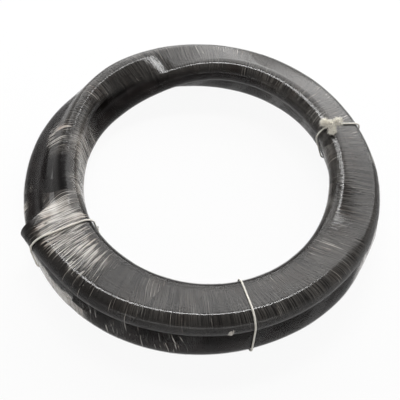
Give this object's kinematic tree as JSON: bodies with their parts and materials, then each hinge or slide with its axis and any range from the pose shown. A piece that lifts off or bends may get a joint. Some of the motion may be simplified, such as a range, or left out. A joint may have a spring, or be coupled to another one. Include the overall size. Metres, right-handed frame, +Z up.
{
  "type": "vacuum hose",
  "caption": "Coil of smooth black suction hose with a plain cut end, wrapped in clear stretch film and tied with twine.",
  "frame": {"origin": "middle of the coil, on the plane that the coil lies on", "axes": "+Z up along the coil's axis; +X to the right and +Y away from the side with the front tie"},
  "size_m": [0.6641, 0.655, 0.1324],
  "materials": {
    "hose_cover": "smooth satin black",
    "hose_braid": "woven cord",
    "hose_liner": "smooth matt black",
    "stretch_film": "clear, glossy, wrinkled",
    "twine": "twisted natural fibre"
  },
  "bodies": {
    "root": {"hose_cover": "hose_cover", "hose_braid": "hose_braid", "hose_liner": "hose_liner", "stretch_film": "stretch_film", "tie_left": "twine", "tie_front": "twine", "tie_right": "twine"}
  },
  "joints": []
}
